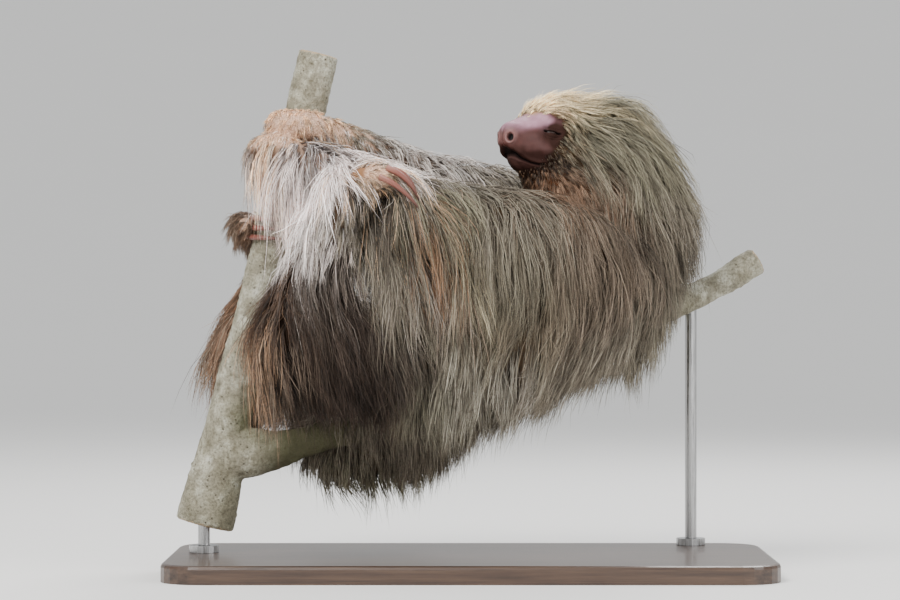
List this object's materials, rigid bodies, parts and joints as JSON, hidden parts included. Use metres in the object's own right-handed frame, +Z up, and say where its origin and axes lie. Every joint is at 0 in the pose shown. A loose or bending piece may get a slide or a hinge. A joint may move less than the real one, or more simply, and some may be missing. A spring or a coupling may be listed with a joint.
{
  "type": "two-toed sloth model",
  "caption": "Life-size still model of a two-toed sloth asleep in a tree fork, its arms and feet hooked round the trunk, on a display stand.",
  "frame": {"origin": "centre of the stand base's underside", "axes": "+Z up; +X towards the animal's back and crown, away from the tree trunk it grips; -Y towards the animal's left side, the side it shows"},
  "size_m": [0.6074, 0.28, 0.5245],
  "materials": {
    "coat": "long coarse hair, grey-brown to silver",
    "short_fur": "short pale fur over pinkish skin",
    "face_skin": "bare, slightly moist skin",
    "eyelid": "closed lid over the eye",
    "claw_horn": "smooth horn, satin",
    "bark": "smooth grey bark with lichen",
    "stand_wood": "dark stained, satin",
    "stand_steel": "brushed"
  },
  "bodies": {
    "root": {"abdomen": "coat", "chest": "coat", "claw_foot_left_1": "claw_horn", "claw_foot_left_2": "claw_horn", "claw_foot_left_3": "claw_horn", "claw_foot_right_1": "claw_horn", "claw_foot_right_2": "claw_horn", "claw_foot_right_3": "claw_horn", "claw_hand_left_1": "claw_horn", "claw_hand_left_2": "claw_horn", "claw_hand_right_1": "claw_horn", "claw_hand_right_2": "claw_horn", "eye_left": "eyelid", "eye_right": "eyelid", "foot_left": "short_fur", "foot_right": "short_fur", "forearm_left": "coat", "forearm_right": "coat", "hand_left": "short_fur", "hand_right": "short_fur", "head": "coat", "jaw": "face_skin", "muzzle": "face_skin", "neck": "coat", "perch_branch": "bark", "perch_trunk": "bark", "shin_left": "coat", "shin_right": "coat", "stand_base": "stand_wood", "stand_collar_branch": "stand_steel", "stand_collar_trunk": "stand_steel", "stand_rod_branch": "stand_steel", "stand_rod_trunk": "stand_steel", "thigh_left": "coat", "thigh_right": "coat", "upper_arm_left": "coat", "upper_arm_right": "coat"}
  },
  "joints": []
}
